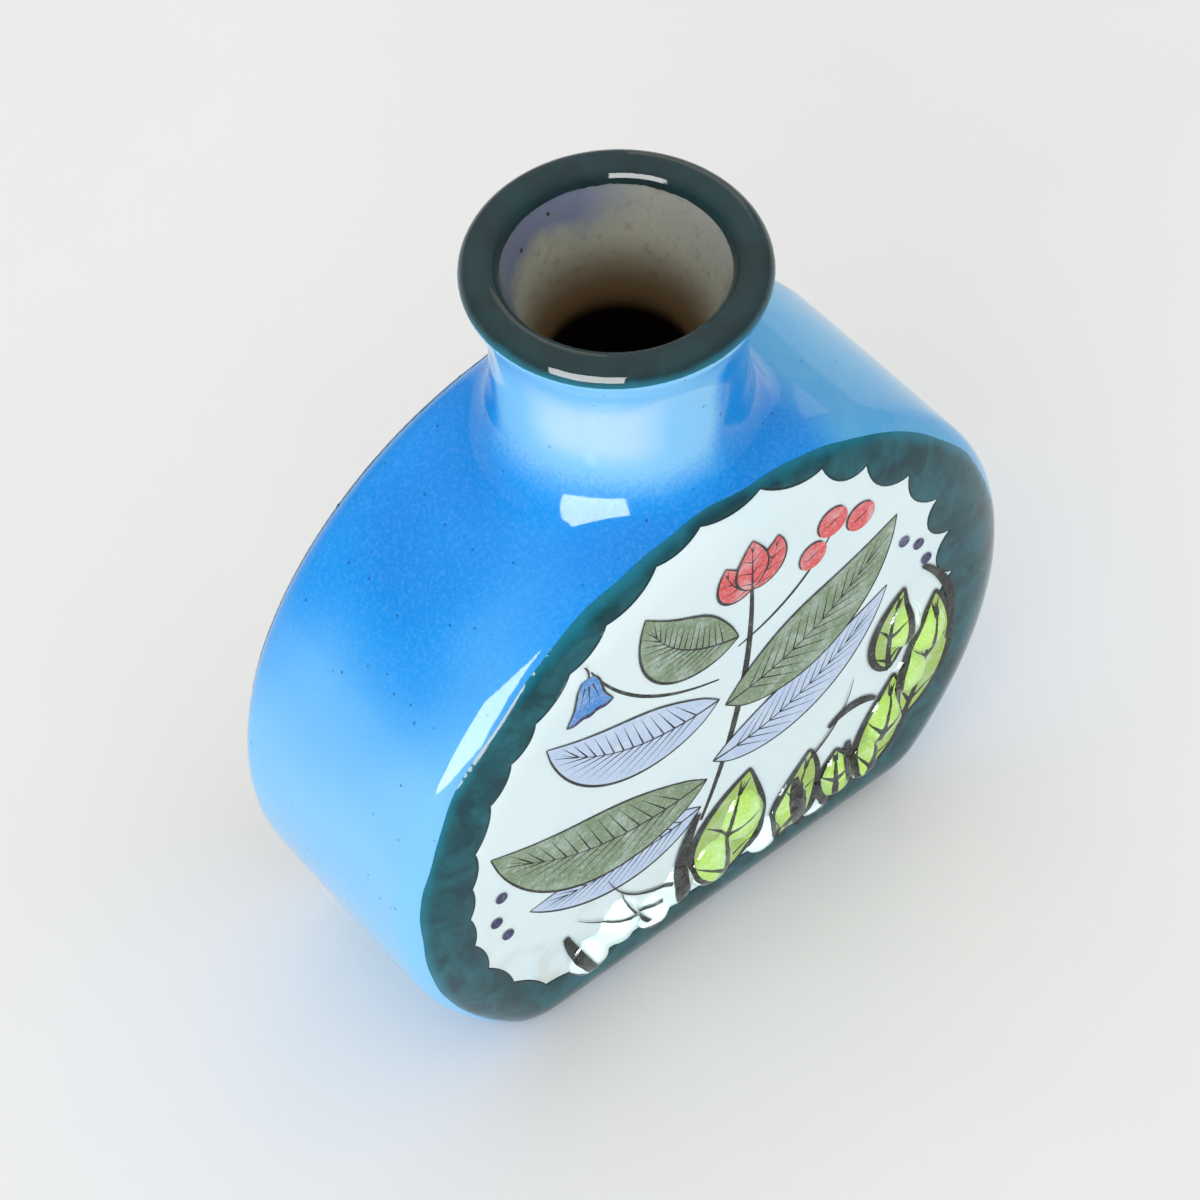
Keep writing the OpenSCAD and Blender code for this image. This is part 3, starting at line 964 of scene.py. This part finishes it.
class VASE_OT_beads(bpy.types.Operator):
    """Models the thick clear drips that pooled along the front panel's lower edge"""
    bl_idname = "bud_vase.beads"
    bl_label = "Clear glaze beads"

    # Each drip's place in the front view, its width, height and rise, in millimetres
    DRIPS = ((-23.6, 13, 6.5, 7.5, 1.6), (-18.6, 15.6, 6.5, 9, 1.65), (-13.2, 13, 5.5, 7, 1.6),
             (-9.2, 14.8, 5, 8, 1.6), (-3.4, 14.6, 7, 9, 1.7), (1.6, 20.2, 7, 10, 1.7), (4.8, 13, 5.5, 7, 1.6),
             (9.6, 15.4, 6, 10, 1.65), (13.6, 12.6, 5, 6.5, 1.55), (17.6, 14.6, 5.6, 8.5, 1.65),
             (22.2, 13.6, 5.6, 7, 1.6), (25.6, 20, 6.2, 9.5, 1.7), (29.6, 26.4, 6, 8, 1.65),
             (32.6, 33, 6, 8.5, 1.7), (28, 37.4, 6, 8.5, 1.6))
    # How deep the middle of a drip's round lies behind the face
    BURY = 0.1

    def execute(self, context):
        face = -settings().vase_body.half_depth + settings().vase_coats.set_back
        drips = [self.drip(face, *sizes) for sizes in self.DRIPS]
        pick(*drips)
        bpy.ops.object.join()
        beads = bpy.context.object
        modify(beads, "REMESH", mode="VOXEL", voxel_size=0.3 * MM, adaptivity=0)
        modify(beads, "SMOOTH", factor=0.5, iterations=3)
        modify(beads, "DISPLACE", texture=clouds("pooled", 0.0022), texture_coords="LOCAL", mid_level=0.65,
               strength=0.3 * MM)
        edit(beads)
        bpy.ops.mesh.select_all(action="SELECT")
        bpy.ops.mesh.bisect(plane_co=(0, face + 0.15 * MM, 0), plane_no=(0, 1, 0), use_fill=True,
                            clear_outer=True)
        leave_edit()
        finish_piece(beads, "glaze_beads", clear_glaze(), "clear_glaze", "front_glaze_beads")
        beads.visible_shadow = False
        return {"FINISHED"}

    def drip(self, face, x, z, width, height, rise):
        clear_selection()
        select_mode("VERT")
        bpy.ops.mesh.primitive_uv_sphere_add(segments=28, ring_count=18, radius=0.5, location=(0, 0, 0))
        drip = bpy.context.object
        modify(drip, "SIMPLE_DEFORM", deform_method="TAPER", deform_axis="Z", factor=-0.3)
        half = rise + self.BURY
        wider = MM / math.sqrt(1 - (self.BURY / half) ** 2)
        edit(drip)
        bpy.ops.mesh.select_all(action="SELECT")
        bpy.ops.transform.resize(value=(width * wider, 2 * half * MM, height * wider), center_override=(0, 0, 0))
        bpy.ops.transform.translate(value=(x * MM, face + self.BURY * MM, z * MM))
        return leave_edit()


# Brushwork. Points are millimetres in the front view: across and up


def bend_line(base, tip, bend, steps):
    """Points on a soft curve from base to tip, bent sideways by that much."""
    base, tip = Vector(base), Vector(tip)
    across = tip - base
    knee = (base + tip) / 2 + Vector((-across.y, across.x)).normalized() * bend * 2
    shares = [index / steps for index in range(steps + 1)]
    return [base * (1 - t) ** 2 + knee * 2 * t * (1 - t) + tip * t ** 2 for t in shares]


def leaf_sides(base, tip, width, bend, steps=18):
    """The two edges of a pointed leaf along a bent line, from base to tip."""
    middle = bend_line(base, tip, bend, steps)
    left, right = [], []
    for index, point in enumerate(middle):
        share = index / steps
        along = middle[min(index + 1, steps)] - middle[max(index - 1, 0)]
        out = Vector((-along.y, along.x)).normalized()
        half = width / 2 * math.sin(math.pi * share ** 0.8) ** 0.9 if 0 < share < 1 else 0
        left.append(point + out * half)
        right.append(point - out * half)
    return left, middle, right


class Brush:
    """Collects flat shapes and tapered strokes for one panel in layers, and makes a piece of each colour."""

    # Depth of the first layer and of the others over it, in millimetres, and a stroke's height for its width
    FIRST, LAYER, FLAT = 0.02, 0.014, 0.008

    def __init__(self, name, side):
        self.name, self.side = name, side
        self.face = settings().vase_body.half_depth - settings().vase_coats.set_back
        self.depth = self.FIRST
        self.shapes, self.strokes = {}, {}

    def lift(self):
        """Starts a layer over all that is painted so far."""
        self.depth += self.LAYER

    def shape(self, tint, points):
        self.shapes.setdefault(tint, []).append((points, self.depth))

    def stroke(self, tint, points, width, swell="taper"):
        """A brush line; it swells in the middle, or thins towards its end."""
        last = max(len(points) - 1, 1)
        ends = {"taper": lambda t: 0.25 + 0.75 * math.sin(math.pi * (0.12 + 0.8 * t)),
                "flick": lambda t: 1.1 - 0.95 * t, "even": lambda t: 1 - 0.35 * (2 * t - 1) ** 4}[swell]
        knots = [(point, width * ends(index / last)) for index, point in enumerate(points)]
        self.strokes.setdefault(tint, []).append((knots, self.depth + self.LAYER / 2))

    def oval(self, tint, centre, wide, high, turn=0):
        rim = []
        for index in range(28):
            angle = 2 * math.pi * index / 28
            point = Vector((wide / 2 * math.cos(angle), high / 2 * math.sin(angle)))
            point.rotate(Matrix.Rotation(math.radians(turn), 2))
            rim.append(Vector(centre) + point)
        self.shape(tint, rim)
        return rim

    def leaf(self, tint, base, tip, width, bend, veins, line=0.5):
        left, middle, right = leaf_sides(base, tip, width, bend)
        self.shape(tint, left + right[-2:0:-1])
        self.stroke("line", left, line)
        self.stroke("line", right, line * 0.8)
        self.stroke("line", middle[:-2], line * 0.8, "flick")
        for index in range(veins):
            share = 0.14 + 0.68 * index / max(veins - 1, 1)
            root = middle[int(share * 18)]
            for edge in (left, right):
                end = edge[min(int(share * 18) + 3, 18)]
                self.stroke("line", [root, root.lerp(end, 0.45), root.lerp(end, 0.85)], line * 0.5, "flick")

    def make(self, paints):
        for tint, shapes in self.shapes.items():
            self.finish([self.flat(points, depth) for points, depth in shapes], tint, paints[tint])
        for tint, strokes in self.strokes.items():
            self.finish([self.lines(strokes)], tint + "_strokes", paints[tint])

    def finish(self, pieces, label, material):
        pick(*pieces)
        if len(pieces) > 1:
            bpy.ops.object.join()
        obj = turn_to(bpy.context.object, self.side)
        edit(obj)
        face_outwards()
        leave_edit()
        finish_piece(obj, f"{self.name}_paint_{label}", material, "white_glaze")

    def curve(self, dimensions):
        clear_selection()
        bpy.ops.curve.primitive_nurbs_path_add(location=(0, 0, 0))
        obj = bpy.context.object
        obj.data.splines.clear()
        obj.data.dimensions = dimensions
        return obj

    def flat(self, points, depth):
        obj = self.curve("2D")
        obj.data.fill_mode = "BOTH"
        obj.data.extrude = 0.003 * MM
        spline = obj.data.splines.new("POLY")
        spline.points.add(len(points) - 1)
        for knot, point in zip(spline.points, points):
            knot.co = (point.x * MM, point.y * MM, 0, 1)
        spline.use_cyclic_u = True
        bpy.ops.object.convert(target="MESH")
        edit(obj)
        bpy.ops.mesh.select_all(action="SELECT")
        bpy.ops.mesh.remove_doubles(threshold=0.002 * MM)
        bpy.ops.transform.rotate(value=-math.pi / 2, orient_axis="X", center_override=(0, 0, 0))
        bpy.ops.transform.translate(value=(0, -self.face - depth * MM, 0))
        return leave_edit()

    def lines(self, strokes):
        obj = self.curve("3D")
        obj.data.bevel_depth = MM
        obj.data.bevel_resolution = 1
        obj.data.use_fill_caps = True
        for stroke, depth in strokes:
            spline = obj.data.splines.new("NURBS")
            spline.points.add(len(stroke) - 1)
            for knot, (point, width) in zip(spline.points, stroke):
                knot.co = (point.x * MM, -depth * MM / self.FLAT, point.y * MM, 1)
                knot.radius = width / 2
            spline.order_u = min(3, len(stroke))
            spline.use_endpoint_u = True
            spline.resolution_u = 4
        bpy.ops.object.convert(target="MESH")
        edit(obj)
        bpy.ops.mesh.select_all(action="SELECT")
        bpy.ops.transform.resize(value=(1, self.FLAT, 1), center_override=(0, 0, 0))
        bpy.ops.transform.translate(value=(0, -self.face, 0))
        return leave_edit()


class VASE_OT_brushwork(bpy.types.Operator):
    """Paints a spray of leaves, bells and berries on the front panel and a sprig on the back"""
    bl_idname = "bud_vase.brushwork"
    bl_label = "Brushwork"

    def execute(self, context):
        tints = settings().vase_paints
        paints = {name: paint(name + " paint", getattr(tints, name), wash) for name, wash in (
            ("line", 0.1), ("olive", 0.35), ("coral", 0.35), ("lime", 0.3), ("navy", 0.2), ("sky", 0.35),
            ("haze", 0.35))}
        self.spray().make(paints)
        self.sprig().make(paints)
        return {"FINISHED"}

    def spray(self):
        """A leafy stem with a bud, a bell and berries, over low leaves that the pooled glaze lies on."""
        brush = Brush("front", SIDES["front"])
        brush.stroke("line", bend_line((-5, 25), (3, 68), -2.5, 14), 1.2)
        brush.stroke("line", bend_line((-2, 52), (-21, 70), 3, 12), 0.6)
        brush.stroke("line", bend_line((1, 56), (15.5, 66), -2, 10), 0.6)
        for tint, base, tip, width, bend, veins in (
                ("haze", (-5, 28), (-32, 31), 9, 2, 15), ("olive", (-4, 33), (-37, 47), 13, 5, 18),
                ("haze", (-3, 36), (25, 48), 10, -4, 15), ("olive", (-1, 46), (26, 61), 13, -4, 18),
                ("haze", (-2, 48), (-28, 61), 11, 4, 16), ("olive", (1, 58), (-13, 73), 10, 3, 14)):
            brush.lift()
            brush.leaf(tint, base, tip, width, bend, veins)
        self.bell(brush, -21.5, 66, 6.5)
        for x, z, size in ((15.5, 68, 4.6), (20, 65.5, 4.4), (12.5, 64, 4.2)):
            self.berry(brush, x, z, size)
        for tip, bend in (((-1, 72.5), 1), ((7, 72.5), -1), ((3, 74.5), 0)):
            brush.lift()
            brush.leaf("coral", (3, 65.5), tip, 5, bend, 4, 0.45)
        for x, z in ((30, 52), (31.5, 48), (27.5, 54.5), (-36, 38), (-37, 33.5), (-35.5, 29.5)):
            brush.oval("navy", (x, z), 1.7, 2.0, 25)
        for base, tip, width, bend in (((-2, 9.5), (3, 29), 12, 1), ((7, 9.5), (13, 24), 7, -1),
                                       ((17, 9.5), (17.5, 20), 6, 0), ((22, 10), (27, 28), 8, -1),
                                       ((29, 17), (33.5, 40), 8, -1.5), ((26, 30), (28, 45), 6, 1)):
            brush.lift()
            brush.leaf("lime", base, tip, width, bend, 3, 1.5)
        for base, tip, bend, width in (((-8.5, 10), (-5.5, 27), 1.5, 2.6), ((11.5, 9), (10.5, 20), 0.5, 3),
                                       ((-27, 20), (-22.5, 9), -0.6, 2), ((31, 47), (36, 28), 2.5, 1.6),
                                       ((16, 26), (24, 25.5), 1.5, 1.8), ((20, 10), (19.5, 20), 0.3, 2.4)):
            brush.stroke("line", bend_line(base, tip, bend, 10), width)
        for base, tip, bend in (((-10, 16), (-20, 26), 2), ((-12, 14), (-25, 22), 1.5), ((13, 22), (20, 33), -1.5),
                                ((-14, 12), (-18, 22), 1)):
            brush.stroke("line", bend_line(base, tip, bend, 8), 0.6, "flick")
        return brush

    def berry(self, brush, x, z, size):
        rim = brush.oval("coral", (x, z), size, size * 1.12, 20)
        brush.stroke("line", rim[2:16], 0.4)
        brush.stroke("line", [Vector((x - 1, z - 0.4)), Vector((x, z)), Vector((x + 0.9, z + 0.3))], 0.35)

    def bell(self, brush, x, z, size):
        """A hanging bell with a waved rim."""
        half = [(0.0, 0.16), (0.15, 0.3), (0.4, 0.36), (0.65, 0.42), (0.85, 0.54), (1.0, 0.66)]
        left = [Vector((x - w * size * 0.8, z + size * (0.5 - t))) for t, w in half]
        right = [Vector((x + w * size * 0.8, z + size * (0.5 - t))) for t, w in half]
        foot = [Vector((x + size * 0.53 * (u - 1), z - size * (0.5 + 0.09 * math.sin(u * 1.5 * math.pi) ** 2)))
                for u in (0.25, 0.5, 0.75, 1.0, 1.25, 1.5, 1.75)]
        brush.shape("sky", left + foot + right[::-1])
        brush.stroke("navy", [left[-1], *foot, right[-1]], 0.8, "even")
        for edge in (left, right):
            brush.stroke("line", edge, 0.4)
        for lean in (-0.22, 0, 0.22):
            brush.stroke("line", [Vector((x + lean * size * 0.4, z + size * 0.3)),
                                  Vector((x + lean * size, z - size * 0.2))], 0.25, "flick")
        brush.stroke("line", [Vector((x, z + size * 0.5)), Vector((x + 0.3, z + size * 0.7)),
                              Vector((x - 0.5, z + size * 0.9))], 0.45)

    def sprig(self):
        brush = Brush("back", SIDES["back"])
        brush.stroke("line", bend_line((-4, 18), (-2, 62), -3, 12), 1.0)
        brush.lift()
        for base, tip, width, bend in (((-3, 28), (-24, 38), 8, 2), ((-2, 30), (20, 38), 8, -2),
                                       ((-1, 42), (-20, 56), 7, 2), ((0, 44), (18, 56), 7, -2)):
            brush.leaf("olive", base, tip, width, bend, 9)
        brush.leaf("haze", (-2, 60), (-4, 74), 7, 0, 7)
        brush.leaf("lime", (-4, 22), (-18, 17), 6, 1.5, 4, 0.8)
        brush.leaf("lime", (-4, 22), (11, 17), 6, -1.5, 4, 0.8)
        for x, z in ((-14, 66), (9, 66), (-25, 48), (22, 48)):
            self.berry(brush, x, z, 4)
        return brush


class VASE_OT_clay(bpy.types.Operator):
    """Gives the bare clay pieces their stoneware"""
    bl_idname = "bud_vase.clay"
    bl_label = "Clay"

    def execute(self, context):
        clay = stoneware()
        for name in CLAY_NODES:
            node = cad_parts[name]
            for slot in node.material_slots:
                slot.material = clay
        return {"FINISHED"}


class VASE_OT_stage(bpy.types.Operator):
    """Sets the pale floor, the soft studio light and the camera"""
    bl_idname = "bud_vase.stage"
    bl_label = "Studio stage"

    def execute(self, context):
        scene = context.scene
        scene.view_settings.view_transform = "Standard"
        self.floor()
        self.world(scene)
        self.lamp("window_light", (-0.92, -0.58, 0.31), (0, 0, 0.06), (0.95, 0.68), 5, (1, 1, 1))
        glint = self.lamp("window_glint", (-0.91, -0.57, 0.31), (0, 0, 0.06), (0.95, 0.68), 46, (1, 1, 1))
        glint.visible_diffuse = False
        self.lamp("warm_light", (0.9, 0.7, 0.5), (0, 0, 0.06), (0.5, 0.5), 0.8, (1, 0.8, 0.62))
        self.camera(scene)
        return {"FINISHED"}

    def floor(self):
        clear_selection()
        bpy.ops.mesh.primitive_plane_add(size=3, location=(0, 0, 0))
        plane = bpy.context.object
        plane.name = "floor"
        glaze = Glaze("pale floor", roughness=0.6, gloss=0)
        tint = settings().vase_glazes.floor
        base = glaze.mix(glaze.noise(60, 3), tint, [0.96 * value for value in tint])
        plane.data.materials.append(glaze.finish(base))

    def world(self, scene):
        scene.world = bpy.data.worlds.new("studio")
        scene.world.use_nodes = True
        tree = scene.world.node_tree
        sky = tree.nodes["Background"]
        sky.inputs["Color"].default_value = (0.96, 0.98, 1.0, 1)
        # Brighter overhead than at the sides, without an edge
        place = tree.nodes.new("ShaderNodeTexCoord")
        height = tree.nodes.new("ShaderNodeSeparateXYZ")
        level = tree.nodes.new("ShaderNodeMapRange")
        level.interpolation_type = "SMOOTHSTEP"
        level.inputs["To Min"].default_value, level.inputs["To Max"].default_value = 0.45, 1.15
        tree.links.new(place.outputs["Generated"], height.inputs["Vector"])
        tree.links.new(height.outputs["Z"], level.inputs["Value"])
        tree.links.new(level.outputs["Result"], sky.inputs["Strength"])

    def lamp(self, name, place, target, size, power, tint):
        clear_selection()
        bpy.ops.object.light_add(type="AREA", location=place)
        lamp = bpy.context.object
        lamp.name = name
        lamp.data.shape = "RECTANGLE"
        lamp.data.size, lamp.data.size_y = size
        lamp.data.energy = power
        lamp.data.color = tint
        lamp.rotation_euler = (Vector(target) - Vector(place)).to_track_quat("-Z", "Y").to_euler()
        return lamp

    def camera(self, scene):
        azimuth, elevation, roll = (math.radians(value) for value in (-37.898, 52.465, -1.93))
        distance, focal = 0.45168, 3649.1
        back = Vector((math.sin(azimuth) * math.cos(elevation), -math.cos(azimuth) * math.cos(elevation),
                       math.sin(elevation)))
        aim = Vector((0, 0, 0.045))
        right = (-back).cross(Vector((0, 0, 1))).normalized()
        up = right.cross(-back)
        turned_right = right * math.cos(roll) + up * math.sin(roll)
        turned_up = up * math.cos(roll) - right * math.sin(roll)
        place = aim + back * distance
        aim = aim - turned_right * (627.57 - 600) * distance / focal + turned_up * (605.97 - 600) * distance / focal
        look = (aim - place).normalized()
        bpy.ops.object.camera_add(location=place)
        camera = bpy.context.object
        camera.name = "photo_camera"
        side = look.cross(turned_up).normalized()
        over = side.cross(look)
        camera.matrix_world = Matrix.Translation(place) @ Matrix((side, over, -look)).transposed().to_4x4()
        camera.data.sensor_width = 36
        camera.data.lens = focal * 36 / 1200
        scene.camera = camera


class VASE_PT_panel(bpy.types.Panel):
    """Lists the vase's steps in the sidebar"""
    bl_idname = "VASE_PT_panel"
    bl_label = "Bud vase"
    bl_space_type = "VIEW_3D"
    bl_region_type = "UI"
    bl_category = "Bud vase"

    def draw(self, context):
        for step in STEPS:
            self.layout.operator(step.bl_idname)
        for group in GROUPS:
            self.layout.label(text=group)
            values = getattr(context.scene, group)
            for name in values.bl_rna.properties.keys():
                if name not in ("rna_type", "name"):
                    self.layout.prop(values, name)


GROUPS = {
    "vase_body": BodySizes,
    "vase_neck": NeckSizes,
    "vase_coats": GlazeSizes,
    "vase_panel": PanelSizes,
    "vase_glazes": GlazeColours,
    "vase_paints": PaintColours,
}
STEPS = (VASE_OT_outer_form, VASE_OT_blue_coat, VASE_OT_borders, VASE_OT_panels, VASE_OT_lip, VASE_OT_liner,
         VASE_OT_beads, VASE_OT_brushwork, VASE_OT_clay, VASE_OT_stage)


def register():
    for each in (*GROUPS.values(), *STEPS, VASE_PT_panel):
        bpy.utils.register_class(each)
    for name, group in GROUPS.items():
        setattr(bpy.types.Scene, name, PointerProperty(type=group))


def unregister():
    for name in GROUPS:
        delattr(bpy.types.Scene, name)
    for each in reversed((*GROUPS.values(), *STEPS, VASE_PT_panel)):
        bpy.utils.unregister_class(each)


def main():
    register()
    for step in STEPS:
        area, name = step.bl_idname.split(".")
        getattr(getattr(bpy.ops, area), name)()
    remove(form())


if __name__ == "__main__":
    main()
